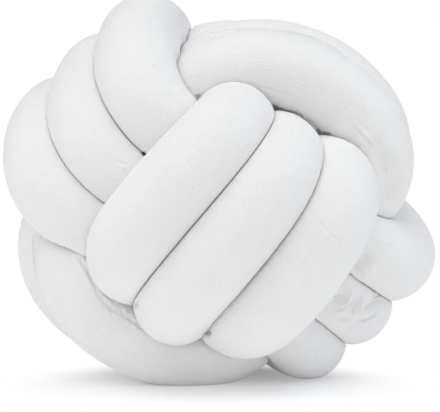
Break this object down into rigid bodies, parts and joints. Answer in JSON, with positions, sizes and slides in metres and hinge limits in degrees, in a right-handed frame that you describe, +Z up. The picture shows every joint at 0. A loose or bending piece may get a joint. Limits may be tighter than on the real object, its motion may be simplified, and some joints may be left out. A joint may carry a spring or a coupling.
{
  "type": "knot cushion",
  "caption": "Round plush cushion: a long stuffed tube wound and tucked into a woven ball knot, with small flat spots that it rests on.",
  "frame": {"origin": "bottom centre of the bounding box, on the surface that the cushion rests on", "axes": "+Z up; -Y towards the face of the knot that the picture shows; +X to the right in the picture"},
  "size_m": [0.276, 0.2724, 0.2446],
  "materials": {
    "plush": "matt short-pile plush"
  },
  "bodies": {
    "root": {"knotted_tube": "plush"}
  },
  "joints": []
}
